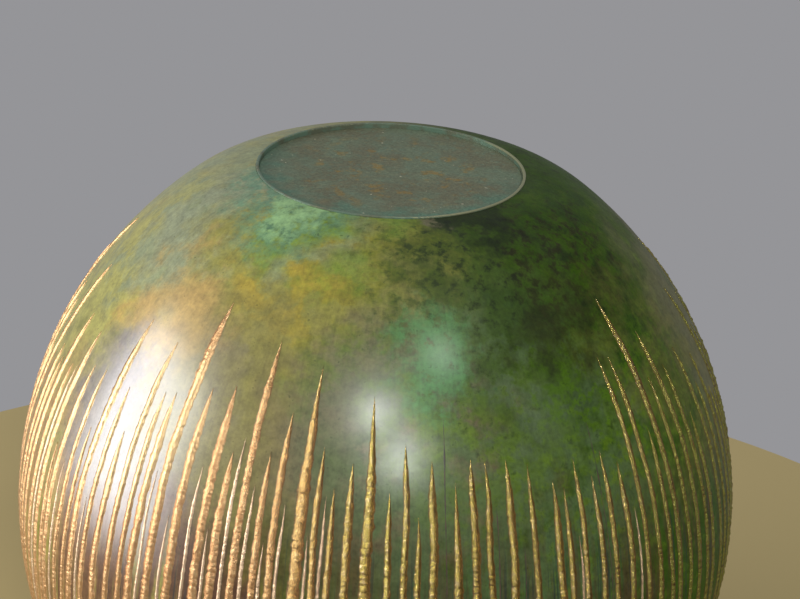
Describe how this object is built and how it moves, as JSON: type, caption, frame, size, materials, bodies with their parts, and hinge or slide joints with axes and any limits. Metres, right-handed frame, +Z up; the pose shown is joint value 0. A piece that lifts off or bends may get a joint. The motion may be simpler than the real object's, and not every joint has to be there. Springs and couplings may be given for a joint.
{
  "type": "bronze jar",
  "caption": "Round patinated bronze jar with gilded vertical streaks, shown upside down on its open mouth with the thin foot ring and its recessed base plate on top.",
  "frame": {"origin": "centre of the mouth plane that the jar stands on", "axes": "+Z up the axis from the mouth to the foot, -Y towards the front, +X to the right"},
  "size_m": [0.241, 0.241, 0.2205],
  "materials": {
    "patinated_bronze": "waxed green and brown patina, semi-gloss",
    "foot_bronze": "worn green patina",
    "base_bronze": "dull brown-green patina with scratches",
    "gold": "hammered gold",
    "solder": "dull solder"
  },
  "bodies": {
    "root": {"body_wall": "patinated_bronze", "foot_ring": "foot_bronze", "base_plate": "base_bronze", "foot_solder": "solder", "base_solder": "solder", "gold_streaks_front": "gold", "gold_streaks_front_right": "gold", "gold_streaks_right": "gold", "gold_streaks_back_right": "gold", "gold_streaks_back": "gold", "gold_streaks_back_left": "gold", "gold_streaks_left": "gold", "gold_streaks_front_left": "gold"}
  },
  "joints": []
}
